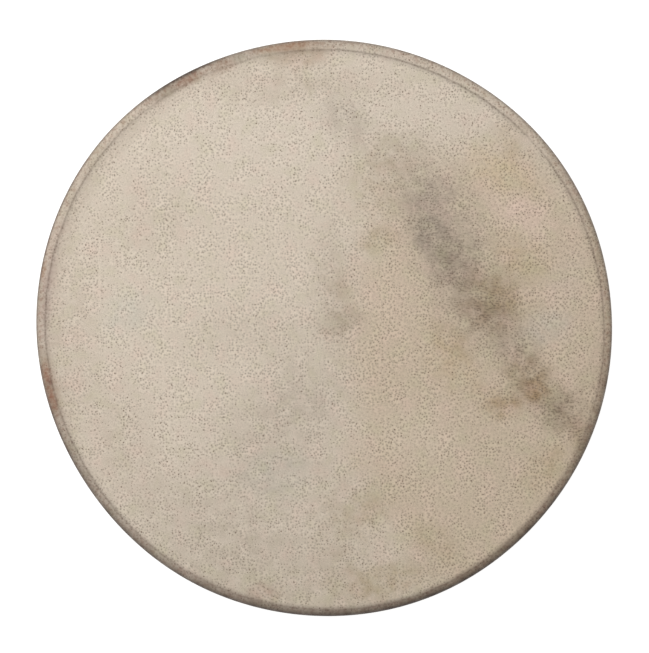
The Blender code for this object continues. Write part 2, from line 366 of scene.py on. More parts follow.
# Marks on the drumhead: x, y, half length and half width in mm, degrees, colour, strength, softness
FACE_MARKS = (
    (-40, 140, 105, 52, 12, "#dccfbf", 0.35, 0.9),
    (-66, -150, 80, 50, -20, "#b7a997", 0.50, 0.9),
    (-38, -82, 44, 42, 0, "#b6a896", 0.45, 0.9),
    (-14, -46, 34, 30, 0, "#bbad9c", 0.60, 0.9),
    (0, -190, 120, 40, 0, "#b5a791", 0.30, 0.9),
    (-118, 78, 40, 30, 20, "#bfb09c", 0.30, 0.9),
    (-135, 10, 22, 16, 20, "#c2bfb0", 0.35, 0.8),
    (-34, -103, 24, 16, 15, "#b4b0a2", 0.30, 0.8),
    (-16, 187, 24, 10, 2, "#b39c84", 0.60, 0.8),
    (14, 142, 23, 15, -50, "#b0a392", 0.50, 0.8),
    (11, 27, 8, 7, 0, "#ab9781", 0.45, 0.8),
    (13, 5, 16, 11, 10, "#a08e76", 0.55, 0.8),
    (8, 22, 20, 50, 4, "#ad9d89", 0.42, 0.9),
    (14, -140, 26, 66, 4, "#ae9c85", 0.36, 0.9),
    (48, 118, 26, 22, 20, "#a99a83", 0.45, 0.9),
    (-20, 168, 70, 15, 0, "#b3a28d", 0.35, 0.9),
    (-40, -4, 60, 20, 0, "#bcae9b", 0.30, 0.9),
    (-178, -20, 20, 85, -6, "#b3a08d", 0.28, 0.9),
    (-142, -78, 28, 55, 20, "#b8a794", 0.32, 0.9),
    (187, -55, 12, 45, 0, "#a08e76", 0.32, 0.9),
    (36, 22, 30, 22, -30, "#cfbaa6", 0.50, 0.9),
    (35, 61, 14, 9, 20, "#a3906d", 0.50, 0.8),
    (40, 95, 32, 34, 0, "#b7a58b", 0.45, 0.9),
    (138, 76, 28, 15, -20, "#dac1b0", 0.60, 0.8),
    (122, 110, 28, 18, -30, "#c8b088", 0.40, 0.9),
    (134, 46, 26, 15, -25, "#b09c76", 0.40, 0.9),
    (132, 126, 22, 10, -42, "#ab9475", 0.25, 0.9),
    (167, 30, 28, 13, 80, "#cbb8a6", 0.55, 0.8),
    (153, -2, 18, 13, 0, "#c1b6a8", 0.55, 0.8),
    (66, -76, 36, 24, -20, "#d2c2ad", 0.45, 0.9),
    (25, -92, 16, 13, 0, "#cfb9a6", 0.40, 0.8),
    (90, -108, 40, 18, -10, "#cbbaa3", 0.40, 0.9),
    (153, -96, 24, 15, 55, "#ab9670", 0.35, 0.9),
    (90, -26, 24, 18, -40, "#b5a07a", 0.40, 0.9),
    (88, -8, 18, 12, -40, "#a6916d", 0.40, 0.9),
    (124, -50, 18, 10, -15, "#967b52", 0.60, 0.9),
    (75, -150, 26, 13, -30, "#aa9773", 0.30, 0.9),
    (28, -125, 20, 13, 30, "#aa9975", 0.40, 0.9),
    (40, -177, 34, 14, 8, "#a48f69", 0.45, 0.9),
    (-41, -183, 11, 8, 0, "#a88a78", 0.45, 0.8),
)
# The dark patch over the backbone, from its pale upper end to the rim
SPINE_MARKS = (
    (84, 62, 58, 30, -66, "#ac9d8c", 0.55, 0.9),
    (72, 96, 18, 12, -20, "#a89989", 0.55, 0.9),
    (74, 70, 24, 15, -68, "#9b8d7d", 0.75, 0.9),
    (89, 43, 26, 15, -66, "#958574", 0.80, 0.9),
    (108, 15, 40, 30, -42, "#ac9b85", 0.55, 0.9),
    (114, 16, 25, 19, -42, "#97826b", 0.85, 0.9),
    (124, 24, 20, 11, -30, "#a08c66", 0.40, 0.9),
    (134, -14, 19, 15, -45, "#a39380", 0.60, 0.9),
    (143, -37, 24, 16, -38, "#978164", 0.75, 0.9),
    (147, -43, 12, 8, -38, "#96713f", 0.50, 0.9),
    (163, -58, 20, 14, -45, "#9b8973", 0.75, 0.9),
    (175, -76, 16, 10, -62, "#a18d73", 0.60, 0.9),
)
# Marks along the rim: degrees, inset, half length and half depth in mm, colour, strength, softness
RIM_MARKS = (
    (150, 10, 190, 8, "#94806b", 0.24, 0.9),
    (98, 7, 26, 6, "#a3907a", 0.35, 0.9),
    (173, 6.5, 38, 5.5, "#b39a90", 0.45, 0.9),
    (123.5, 5, 16, 5, "#8f7c66", 0.60, 0.9),
    (111, 6.5, 12, 5, "#a48872", 0.60, 0.9),
    (107.5, 4.5, 5, 3, "#99977e", 0.50, 0.9),
    (97, 3.0, 19, 3.4, "#b58c6c", 0.70, 0.9),
    (102.5, 3.5, 8, 2.6, "#bb967a", 0.45, 0.9),
    (192.5, 4.5, 24, 6, "#a88c75", 0.70, 0.9),
    (168.5, 2.0, 7, 2.5, "#a98468", 0.65, 0.8),
    (40, 2.0, 12, 2.0, "#a3a08a", 0.30, 0.9),
    (118.5, 5.2, 11, 4, "#94654b", 0.70, 0.9),
    (189.5, 4.2, 9, 3.4, "#a06c50", 0.65, 0.9),
    (195.3, 3.8, 11, 3.4, "#a06c50", 0.65, 0.9),
    (191.3, 5.0, 3.5, 1.7, "#74483a", 0.65, 0.9),
    # The marks at 154 and 203 degrees lay a thin dark line at the very edge: partly darker hide, partly
    # painted shade where the edge curves steeply down
    (154, 0.6, 80, 1.2, "#5b4a3d", 0.50, 0.6),
    (203, 0.4, 34, 1.2, "#54402f", 0.45, 0.6),
    (120, 0.2, 36, 3.0, "#2a2019", 1.10, 0.8),
)
# How dark the rim is laid, by degrees round it, and how far in that reaches: partly darkening by
# handling, partly painted shade, strongest on the lower right shoulder that faces away from the key
# light
HANDLED_AND_SHADE = (
    (0, 0.24), (30, 0.26), (45, 0.05), (60, 0.11), (90, 0.26), (105, 0.40), (120, 0.34),
    (135, 0.03), (165, 0.12), (180, 0.20), (195, 0.42), (210, 0.72), (225, 0.74), (240, 0.78),
    (270, 0.96), (290, 1.0), (315, 0.92), (330, 0.66), (345, 0.50),
)
RIM_DARK_REACH = 0.0078


def stain(add, colour, amount, tint, gaps=None):
    """Stains a colour by an amount, which gaps may break up; gives it and what was laid."""
    if gaps is not None:
        amount = add("Math", (amount, gaps), operation="MULTIPLY", use_clamp=True)
    inputs = {FACTOR: amount, FIRST: opaque(colour), SECOND: opaque(tint)}
    return add("Mix", inputs, data_type="RGBA").outputs[MIXED], amount


def oval(add, coords, place, halves, degrees, outer, inner, most):
    """An oval with a soft edge: 0 past outer and most within inner, both in shares of its reach."""
    (x, y), (length, width) = place, halves
    placed = add(
        "Mapping",
        (coords, (x * MM, y * MM, 0), (0, 0, math.radians(degrees)), (length * MM, width * MM, 1)),
        vector_type="TEXTURE",
    )
    away = add("VectorMath", (placed,), operation="LENGTH").outputs["Value"]
    return add("MapRange", (away, outer, inner, 0.0, most), interpolation_type="SMOOTHSTEP")


def paint_marks(add, colour, marks, coords, broken):
    """Lays soft oval marks over a colour, and gives the largest amount laid by any of them too."""
    total = 0.0
    for x, y, length, width, degrees, code, strength, softness in marks:
        edge = (1 + softness / 2, 1 - softness)
        inside = oval(add, coords, (x, y), (length, width), degrees, *edge, strength)
        colour, laid = stain(add, colour, inside, code, broken)
        total = add("Math", (laid, total), operation="MAXIMUM")
    return colour, total


def grain_side(sizes, colours):
    """Scraped rawhide, grain side: matte and dry, cream to olive, with follicles and old stains."""
    material, add, shader = new_material("scraped_rawhide_grain_side", 0.62)
    flat = add("Attribute", attribute_name="flat_hide").outputs["Vector"]
    rim = add("Attribute", attribute_name="rim").outputs["Vector"]

    # Uneven edges for every mark: the hide's flat coordinates pushed about by slow noise
    slow = add("TexNoise", {"Vector": flat, "Scale": scale_of(38), "Detail": 3.0})
    push = add("VectorMath", (slow.outputs["Color"], (0.5, 0.5, 0.5)), operation="SUBTRACT")
    warped = add("VectorMath", (push, (0.024, 0.024, 0.0), flat), operation="MULTIPLY_ADD")
    blotch = add("TexNoise", {"Vector": flat, "Scale": scale_of(9), "Detail": 4.0})
    broken = add("MapRange", (blotch, 0.30, 0.64, 0.40, 1.30))

    # The right half is laid yellower and darker, below the paler top: partly the hide's own colour,
    # partly painted light falling off towards the lower right
    flank_and_shade = oval(add, warped, (120, -40), (110, 178), 4, 1.10, 0.76, 1.0)
    colour, _ = stain(add, colours.hide, flank_and_shade, colours.flank_and_shade)
    colour, _ = paint_marks(add, colour, FACE_MARKS, warped, broken)
    colour, spine = paint_marks(add, colour, SPINE_MARKS, warped, broken)

    # Faint pink and olive clouds, as in all scraped hide
    cloud = add("TexNoise", {"Vector": flat, "Scale": scale_of(15), "Detail": 3.0})
    for low, high, tint, most in ((0.52, 0.72, "#dcbcae", 0.24), (0.48, 0.30, "#bcb893", 0.24)):
        share = add("MapRange", (cloud, low, high, 0.0, most))
        colour, _ = stain(add, colour, share, tint)

    # The grain: pebbles of skin round the hair roots, in drifts, with nearly bare places between.
    # It is closer and stronger on the yellower right half.
    drift = add("TexNoise", {"Vector": flat, "Scale": scale_of(13), "Detail": 2.0})
    pebbles = add(
        "TexVoronoi",
        {"Vector": flat, "Scale": 1 / (sizes.follicle * 0.95), "Randomness": 1.0},
        voronoi_dimensions="2D",
    )
    pebble = add("MapRange", (pebbles, 0.10, 0.60, -1.3, 0.9))
    crowded = add("MapRange", (drift, 0.38, 0.60, 0.02, 0.12))
    crowded = add("Math", (flank_and_shade, 0.04, crowded), operation="MULTIPLY_ADD")
    grain = add("Math", (pebble, crowded, 0.705), operation="MULTIPLY_ADD")
    fine = add("TexNoise", {"Vector": flat, "Scale": scale_of(0.75), "Detail": 1.0})
    grain = add("Math", (fine, 0.60, grain), operation="MULTIPLY_ADD")
    colour = add("VectorMath", {0: colour, "Scale": grain}, operation="SCALE")

    # Cut hair lies in short strokes over the dark patch
    combed = add("VectorMath", (push, (0.010, 0.010, 0.0), flat), operation="MULTIPLY_ADD")
    combed = add(
        "Mapping",
        (combed, (0, 0, 0), (0, 0, math.radians(-8)), (4.0, 1, 1)),
        vector_type="TEXTURE",
    )
    strokes = add(
        "TexVoronoi",
        {"Vector": combed, "Scale": scale_of(1.5), "Randomness": 1.0},
        voronoi_dimensions="2D",
    )
    stroke = add("MapRange", (strokes, 0.34, 0.10, 0.0, 0.62))
    colour, _ = stain(add, colour, stroke, "#584636", spine)

    # Follicles: a fine crowd in the same drifts, and fewer, darker ones
    dots = []
    for spacing, root, share, darkest in ((0.95, 0.24, 0.56, 0.66), (2.1, 0.145, 0.36, 0.85)):
        cells = add(
            "TexVoronoi",
            {"Vector": flat, "Scale": 1 / (sizes.follicle * spacing), "Randomness": 0.95},
            voronoi_dimensions="2D",
        )
        dot = add("MapRange", (cells, root, root * 0.45, 0.0, darkest))
        luck = add("SeparateColor", (cells.outputs["Color"],))
        crowd = add("MapRange", (drift, 0.35, 0.65, share - 0.38, share + 0.38))
        there = add("Math", (luck, crowd), operation="LESS_THAN")
        strength = add("MapRange", (luck.outputs[1], 0.0, 1.0, 0.25, 1.1))
        seen = add("Math", (dot, there), operation="MULTIPLY")
        colour, laid = stain(add, colour, seen, colours.follicle, strength)
        dots.append(laid)

    # The rim: old stains, the dark side, the edge and shoulder laid darker by handling and by painted
    # shade, and the crease laid darker by dirt and by painted shade.
    # A stain's place is how far round it lies from 180 degrees, so that the cut falls where none is.
    radius = sizes.width / 2
    where = add("SeparateXYZ", (rim,))
    opposite = add("VectorMath", {0: flat, "Scale": -1.0}, operation="SCALE")
    opposite = add("SeparateXYZ", (opposite,))
    turn = add("Math", (opposite.outputs[1], opposite), operation="ARCTAN2")
    along = add("Math", (turn, radius), operation="MULTIPLY")
    unrolled = add("CombineXYZ", (along, where))
    spread = add("VectorMath", (push, (0.010, 0.003, 0.0), unrolled), operation="MULTIPLY_ADD")
    rim_marks = [
        (math.radians(degrees - 180) * radius / MM, *rest[:3], 0, *rest[3:])
        for degrees, *rest in RIM_MARKS
    ]
    smoothed = add("MapRange", (blotch, 0.3, 0.7, 0.85, 1.1))
    beads = add("TexNoise", {"Vector": flat, "Scale": scale_of(2.6), "Detail": 3.0})
    beaded = add("MapRange", (beads, 0.34, 0.64, 0.55, 1.2))
    cracked = add("MapRange", (beads, 0.50, 0.60, 0.0, 1.0))
    colour, _ = paint_marks(add, colour, rim_marks, spread, beaded)
    for start, end, most, gaps, tint in (
        (9.0, 4.0, 0.12, broken, "#8d7058"),
        (7.0, 4.0, 0.30, cracked, "#8a5a42"),
        (0.3, -9.0, 0.34, smoothed, "#9c8462"),
    ):
        share = add(
            "MapRange", (where, start * MM, end * MM, 0.0, most), interpolation_type="SMOOTHSTEP"
        )
        colour, _ = stain(add, colour, share, tint, gaps)
    # Handling and painted shade darken the rim, most on the lower right shoulder away from the key
    # light
    colour, _ = stain(add, colour, where.outputs[1], colours.patina_and_shade, smoothed)
    # The crease laid darker: partly dirt in the groove, partly painted shade
    colour, _ = stain(add, colour, where.outputs[2], "#553f31", beaded)

    # Relief too fine for the mesh: follicle pits, fine grain and slow puckers
    pits = add("Math", dots, operation="ADD")
    relief = add("Math", (pits, -0.6, fine), operation="MULTIPLY_ADD")
    relief = add("Math", (blotch, 2.0, relief), operation="MULTIPLY_ADD")
    bump = add("Bump", {"Height": relief, "Strength": 0.55, "Distance": 0.00012})
    dull = add("MapRange", (blotch, 0.3, 0.7, 0.56, 0.70))
    feed(shader, {"Base Color": colour, "Normal": bump, "Roughness": dull})
    return material


def flesh_side(colours):
    """Rawhide, flesh side and cut edges: paler and fibrous, with scraper marks."""
    material, add, shader = new_material("scraped_rawhide_flesh_side", 0.72)
    flat = add("Attribute", attribute_name="flat_hide").outputs["Vector"]
    fibres = add("Mapping", {"Vector": flat, "Scale": (1.0, 0.22, 1.0)})
    streak = add("TexNoise", {"Vector": fibres, "Scale": scale_of(2.2), "Detail": 5.0})
    cloud = add("TexNoise", {"Vector": flat, "Scale": scale_of(22), "Detail": 3.0})
    both = add("Math", (streak, cloud), operation="ADD")
    share = add("MapRange", (both, 0.8, 1.2, 0.0, 0.75))
    colour, _ = stain(add, colours.flesh, share, "#9c7d55")
    bump = add("Bump", {"Height": streak, "Distance": 0.0002})
    feed(shader, {"Base Color": colour, "Normal": bump})
    return material


def bent_ash(colours):
    """Steam-bent ash, bare: long open grain round the hoop, darkened by hands and smoke."""
    material, add, shader = new_material("steam_bent_ash", 0.55)
    band = add("Attribute", attribute_name="band").outputs["Vector"]
    long = add("Mapping", {"Vector": band, "Scale": (0.03, 1.0, 1.0)})
    bend = add("TexNoise", {"Vector": long, "Scale": scale_of(9), "Detail": 2.0})
    wavy = add(
        "VectorMath", (bend.outputs["Color"], (0, 0.006, 0.003), long), operation="MULTIPLY_ADD"
    )
    rings = add("TexNoise", {"Vector": wavy, "Scale": scale_of(2.4), "Detail": 3.0})
    pores = add("TexNoise", {"Vector": wavy, "Scale": scale_of(0.5), "Detail": 2.0})
    late = add("MapRange", (rings, 0.42, 0.60, 0.0, 0.75))
    colour, _ = stain(add, colours.hoop, late, "#6f4b29")
    open_grain = add("MapRange", (pores, 0.60, 0.72, 0.0, 0.6))
    colour, _ = stain(add, colour, open_grain, "#3f2916")
    bump = add("Bump", {"Height": open_grain, "Distance": 0.00015}, invert=True)
    feed(shader, {"Base Color": colour, "Normal": bump})
    return material


def twisted_lace(colours):
    """Rawhide lace twisted while wet: amber, hard and half glossy, with fibres along it."""
    material, add, shader = new_material("twisted_rawhide_lace", 0.46)
    strand = add("Attribute", attribute_name="strand").outputs["Vector"]
    long = add("Mapping", {"Vector": strand, "Scale": (0.12, 1.0, 1.0)})
    fibre = add("TexNoise", {"Vector": long, "Scale": scale_of(0.8), "Detail": 3.0})
    cloud = add("TexNoise", {"Vector": strand, "Scale": scale_of(11), "Detail": 2.0})
    both = add("Math", (fibre, cloud), operation="ADD")
    share = add("MapRange", (both, 0.8, 1.25, 0.0, 0.9))
    colour, _ = stain(add, colours.lace, share, "#6b4c29")
    bump = add("Bump", {"Height": fibre, "Distance": 0.00022})
    feed(shader, {"Base Color": colour, "Normal": bump})
    return material


def turned_cherry(colours):
    """Turned cherry, polished by the hand: close grain, warm red-brown, a soft gloss."""
    material, add, shader = new_material("turned_cherry", 0.38)
    place = add("TexCoord").outputs["Object"]
    long = add("Mapping", {"Vector": place, "Scale": (0.09, 1.0, 1.0)})
    grain = add("TexNoise", {"Vector": long, "Scale": scale_of(1.6), "Detail": 4.0})
    share = add("MapRange", (grain, 0.38, 0.64, 0.0, 0.85))
    colour, _ = stain(add, colours.ring, share, "#43230f")
    bump = add("Bump", {"Height": grain, "Distance": 0.0001})
    feed(shader, {"Base Color": colour, "Normal": bump})
    return material


def whittled_peg():
    """A whittled hardwood peg, end grain showing."""
    material, add, shader = new_material("whittled_peg", 0.6)
    place = add("TexCoord").outputs["Object"]
    grain = add("TexNoise", {"Vector": place, "Scale": scale_of(0.7), "Detail": 3.0})
    colour, _ = stain(add, "#8a6239", grain, "#4a2f18")
    feed(shader, {"Base Color": colour})
    return material


def stitch(first, second):
    """Faces between two rings of vertices, where one may have several times as many as the other."""
    few, many = (first, second) if len(first) <= len(second) else (second, first)
    share = len(many) // len(few)
    faces = []
    for j, corner in enumerate(few):
        k = (j + 1) % len(few)
        fan = [many[(j * share + i) % len(many)] for i in range(share + 1)]
        if few is first:
            faces.append((corner, *fan, few[k]))
        else:
            faces.append((*fan[:1], corner, few[k], *fan[:0:-1]))
    return faces


class Skin:
    """Points and faces of one piece, gathered ring by ring."""

    def __init__(self):
        self.points = []
        self.faces = []
        self.finish = []
        self.fields = {}
        self.count = 0

    def add(self, points, **fields):
        """Adds a ring of points with the fields that its materials read, and returns its numbers."""
        points = np.atleast_2d(points)
        self.points.append(points)
        for name, values in fields.items():
            self.fields.setdefault(name, []).append(values)
        numbers = list(range(self.count, self.count + len(points)))
        self.count += len(points)
        return numbers

    def face(self, faces, finish=0):
        self.faces.extend(faces)
        self.finish.extend([finish] * len(faces))

    def join(self, rings, finish=0):
        """Faces from each ring to the next."""
        for ring, after in zip(rings, rings[1:]):
            self.face(stitch(ring, after), finish)

    def build(self, name, materials, sharp=50):
        """Makes the object, without the points that no face uses."""
        points = np.concatenate(self.points)
        used = np.unique(np.concatenate([np.array(face) for face in self.faces]))
        new_number = np.zeros(len(points), int)
        new_number[used] = np.arange(len(used))
        new_number = new_number.tolist()
        mesh = bpy.data.meshes.new(name)
        mesh.from_pydata(
            points[used].tolist(), [], [[new_number[i] for i in face] for face in self.faces]
        )
        for material in materials:
            mesh.materials.append(material)
        mesh.polygons.foreach_set("material_index", self.finish)
        for field, parts in self.fields.items():
            values = np.concatenate(parts)[used]
            made = mesh.attributes.new(field, "FLOAT_VECTOR", "POINT")
            made.data.foreach_set("vector", np.ascontiguousarray(values, np.float32).ravel())
        mesh.shade_smooth()
        mesh.set_sharp_from_angle(angle=math.radians(sharp))
        mesh.update()
        if mesh.validate():
            raise RuntimeError(f"{name}: the mesh has faults")
        obj = bpy.data.objects.new(name, mesh)
        bpy.context.scene.collection.objects.link(obj)
        return obj


# The head's columns: fine ones across a lace hole, wider ones between. The drumhead's middle and
# the inside take every fourth or every sixteenth.
HOLE_COLUMNS = 3
HALF_COLUMNS = 18
HOLE_COLUMN_STEP = math.radians(0.26)
COARSE, SPARSE = 4, 16
# Rows over the drumhead: where the full columns start, how many there are, and those round the
# crease, in mm inside it
FULL_ROWS_START = 0.060
FACE_ROWS = 42
CREASE_ZONE = 0.007
CREASE_ROWS = (5.4, 4.0, 3.0, 2.2, 1.6, 1.1, 0.75, 0.5, 0.25, 0, -0.25, -0.5, -0.8, -1.2)
# Puckers in the drumhead: their lengths, and their height in shares of those
RIPPLES = (0.071, 0.053, 0.041, 0.034, 0.027, 0.021)
RIPPLE_SHARE = 0.0008


def head_angles(form):
    """The head's columns round the drum, and the column of each lace hole."""
    half = form.hole_step / 2
    near = HOLE_COLUMN_STEP * np.arange(HOLE_COLUMNS + 1)
    rest = HALF_COLUMNS - HOLE_COLUMNS
    far = near[-1] + (half - near[-1]) * (np.arange(1, rest + 1) / rest) ** 1.35
    side = np.concatenate([near, far])
    sector = np.concatenate([-side[:0:-1], side[:-1]])
    angles = np.concatenate([hole * form.hole_step + sector for hole in range(form.sizes.holes)])
    centres = [hole * 2 * HALF_COLUMNS + HALF_COLUMNS for hole in range(form.sizes.holes)]
    return angles, centres


def head_relief(form, angle, path):
    """How far the drumhead's surface lies below the rim's top, and how strongly the crease shows."""
    inside = form.crease_path(angle) - path
    groove = round_table(CREASE_DEPTH, angle) * np.exp(-((inside / CREASE_WIDTH) ** 2))
    sunk = form.sizes.sink * smooth(-0.3 * MM, 1.6 * MM, inside)
    x, y = path * np.cos(angle), path * np.sin(angle)
    ripple = 0 * angle
    draw = random.Random(5)
    for length in RIPPLES:
        way = draw.uniform(0, math.pi)
        phase = draw.uniform(0, 2 * math.pi)
        along = x * math.cos(way) + y * math.sin(way)
        ripple = ripple + length * np.sin(along * 2 * math.pi / length + phase)
    slow = RIPPLE_SHARE * ripple * smooth(1.0 * MM, 14 * MM, inside)
    return -sunk + slow, groove


def pleats(form, angle):
    """How far the gathered hide stands out round the drum, from 0 to 1."""
    return np.clip(0.45 + 0.45 * random_waves(3, (34, 47, 62, 75), angle), 0, 1) ** 1.6


def hide_ring(skin, form, angle, path, side):
    """Adds one ring of the hide, outside (side 1) or inside (-1) its middle line."""
    s = form.sizes
    path = path + 0 * angle
    radius, height = form.hide_at(path, side * s.hide / 2)
    sunk, groove = head_relief(form, angle, path)
    on_face = smooth(form.shoulder_end, form.face_end, path)
    height = height + sunk * on_face
    fold = pleats(form, angle) * s.pleat
    if side > 0:
        height = height - s.crease * groove * on_face
        gather = smooth(form.shoulder_end + 12 * MM, form.side_end, path)
        gather = gather * (1 - smooth(form.heel_end, form.border_start, path))
        radius = radius + fold * gather
    # Past the hoop the pleats run out, and the cut edge curls up between the tabs
    run = path - form.border_start
    height = height + 0.6 * fold * np.sin(np.clip(run / (15 * MM), 0, 1) * math.pi)
    length, between = form.border_run(angle)
    height = height + s.curl * between * np.clip(run / length, 0, 1) ** 3

    # What the grain side reads: how far in from the outline, how dark the rim is laid by handling and
    # painted shade, and how dark the crease is laid by dirt and painted shade
    reach = form.radius - radius
    inset = np.where(path > form.shoulder_end, form.shoulder_end - path, reach)
    # Partly handling, partly painted shade: darkest on the lower right, away from the key light
    handling_and_shade = round_table(HANDLED_AND_SHADE, angle) * (1 - np.clip(inset / RIM_DARK_REACH, 0, 1) ** 1.2)
    # A dark line at the outermost edge: partly darker hide, partly painted shade where the edge curves
    # steeply down
    edge = 0.5 * (1 - smooth(0.3 * MM, 2.8 * MM, inset))
    handling_and_shade = (1 - (1 - handling_and_shade) * (1 - edge)) * (1 - 0.82 * smooth(0, 16 * MM, -inset))
    # The hide just inside the crease and the groove itself are laid darker: partly dirt, partly painted
    # shade
    crease_grime_and_shade = (form.crease_path(angle) - path - 1.0 * MM) / (1.9 * MM)
    handling_and_shade = handling_and_shade + 0.20 * round_table(CREASE_DEPTH, angle) * np.exp(-(crease_grime_and_shade**2))
    crease_dirt_and_shade = 0.52 * groove**0.6 * on_face * (side > 0)
    flat = path + np.minimum(1, path / form.hoop_inner) * waves(RIM_WAVES, angle)
    return skin.add(
        form.place(angle, radius, height),
        flat_hide=np.stack([flat * np.cos(angle), flat * np.sin(angle), 0 * angle], axis=-1),
        rim=np.stack([inset, handling_and_shade, crease_dirt_and_shade], axis=-1),
    )


def border_grid(form, angles, centres):
    """The border's rows: angles and runs for every row and column, snapped round at the holes."""
    s = form.sizes
    length, _ = form.border_run(angles)
    slope = np.array([0.15, 0.3, 0.46, 0.62, 0.77, 0.9, 1.0]) * s.slope
    half = 0.87 * s.hole_width / 2 / s.lip
    centre = (form.hole_run - s.slope) / s.lip
    hole_rows = centre + half * np.linspace(-1, 1, 2 * HOLE_COLUMNS + 1)
    shares = np.concatenate([[0.09], hole_rows, [0.64, 0.73, 0.82, 0.90, 0.96, 1.0]])
    runs = [run + 0 * angles for run in slope]
    runs += [s.slope + (length - s.slope) * share for share in shares]
    turn = np.tile(angles, (len(runs), 1))
    run = np.array(runs)
    low = len(slope) + 1
    high = low + 2 * HOLE_COLUMNS
    reach = form.hide_at(form.border_start + form.hole_run, 0)[0]
    draw = random.Random(8)
    loops = []
    for column in centres:
        near, far = column - HOLE_COLUMNS, column + HOLE_COLUMNS
        loop = [(low, c) for c in range(near, far)] + [(r, far) for r in range(low, high)]
        loop += [(high, c) for c in range(far, near, -1)] + [(r, near) for r in range(high, low, -1)]
        stretch = draw.uniform(0.06, 0.16)
        for r, c in loop:
            across = (turn[r, c] - angles[column]) * reach
            along = run[r, c] - form.hole_run
            way = math.atan2(along, across)
            radius = s.hole_width / 2 * (1 + stretch * math.sin(way) ** 3)
            turn[r, c] = angles[column] + radius * math.cos(way) / reach
            run[r, c] = form.hole_run + radius * math.sin(way)
        loops.append(loop)
    return turn, run, loops, (low, high)


def build_head(form, materials):
    """The hide, from the drumhead's middle over the hoop to its cut edge and back inside."""
    s = form.sizes
    skin = Skin()
    fine, centres = head_angles(form)
    crease = form.crease_path(fine)
    middle_height = s.depth + head_relief(form, np.zeros(1), np.zeros(1))[0][0]
    middle = {"flat_hide": np.zeros((1, 3)), "rim": np.array([[form.radius, 0, 0]])}
    pole = skin.add([(-form.middle[0], -form.middle[1], middle_height)], **middle)

    # The outside, in rows of (every how many columns, how far along the hide's line)
    rows = [(SPARSE, path) for path in np.arange(4, 16, 4) * MM]
    rows += [(COARSE, path) for path in np.arange(16, 60, 4) * MM]
    full = crease - CREASE_ZONE - FULL_ROWS_START
    rows += [(1, FULL_ROWS_START + full * step / (FACE_ROWS - 1)) for step in range(FACE_ROWS)]
    rows += [(1, crease - inside * MM) for inside in CREASE_ROWS]
    rows += [(1, path) for path in stations(crease - CREASE_ROWS[-1] * MM, form.shoulder_end, 12)]
    side = form.side_end - form.shoulder_end
    rows += [(1, form.shoulder_end + side * (1 - (1 - step / 20) ** 1.25)) for step in range(1, 21)]
    stops = (form.side_end, form.heel_end, form.bearing_end, form.border_start)
    for start, end, count in zip(stops, stops[1:], (5, 2, 2)):
        rows += [(1, path) for path in stations(start, end, count)]
    outer = [hide_ring(skin, form, fine[::every], path, 1) for every, path in rows]

    turn, run, loops, (low, high) = border_grid(form, fine, centres)
    border_out, border_in = [], []
    for angle, row in zip(turn, run):
        border_out.append(hide_ring(skin, form, angle, form.border_start + row, 1))
        border_in.append(hide_ring(skin, form, angle, form.border_start + row, -1))
    edge = hide_ring(skin, form, turn[-1], form.border_start + run[-1] + 0.00018, 0)

    # The inside, from the border back to the middle
    stops = (*stops[::-1], form.shoulder_end, form.face_end)
    rows = []
    for start, end, count in zip(stops, stops[1:], (2, 1, 3, 6, 6)):
        rows += [(COARSE, path) for path in stations(start, end, count, first=0)]
    rows += [(COARSE, path) for path in np.linspace(form.face_end, FULL_ROWS_START, 24)]
    rows += [(SPARSE, path) for path in np.arange(52, 0, -8) * MM]
    inner = [hide_ring(skin, form, fine[::every], path, -1) for every, path in rows]
    under = skin.add([(-form.middle[0], -form.middle[1], middle_height - s.hide)], **middle)

    first = outer[0]
    skin.face([(pole[0], first[j], first[(j + 1) % len(first)]) for j in range(len(first))])
    skin.join(outer + border_out[:1])
    in_hole = {
        (row, column)
        for row in range(low, high)
        for centre in centres
        for column in range(centre - HOLE_COLUMNS, centre + HOLE_COLUMNS)
    }
    for row in range(len(border_out) - 1):
        keep = [column for column in range(len(fine)) if (row, column) not in in_hole]
        out_faces = stitch(border_out[row], border_out[row + 1])
        in_faces = stitch(border_in[row + 1], border_in[row])
        skin.face([out_faces[column] for column in keep])
        skin.face([in_faces[column] for column in keep], 1)
    skin.join([border_out[-1], edge, border_in[-1]], 1)
    for loop in loops:
        for (r, c), (r2, c2) in zip(loop, loop[1:] + loop[:1]):
            skin.face(
                [(border_out[r][c], border_in[r][c], border_in[r2][c2], border_out[r2][c2])], 1
            )
    skin.join([border_in[0]] + inner, 1)
    last = inner[-1]
    skin.face([(last[j], under[0], last[(j + 1) % len(last)]) for j in range(len(last))], 1)
    return skin.build("rawhide_head", materials)


def arc(middle, radius, start, end, steps):
    """Points of (radius, height) round an arc, from start to end in degrees; 90 is straight up."""
    angle = np.radians(np.linspace(start, end, steps + 1))
    return [(middle[0] + radius * math.cos(a), middle[1] + radius * math.sin(a)) for a in angle]


# The hoop's lap is shaved to a feather, which runs out slantwise just past 180 degrees
HOOP_COLUMNS = 360
BEARING_ROUND = 0.0006
LAP_STEP = 0.0008
LAP_TAPER = 0.16
LAP_SLANT = 0.35
HOOP_WEAR = 0.00012
# The pegs' rings: how far they stand out of the wood and their radius, in mm
PEG_RINGS = ((0.4, 2.5), (-0.35, 2.5), (-0.55, 1.9), (-0.62, 0.9))
PEG_SIDES = 20


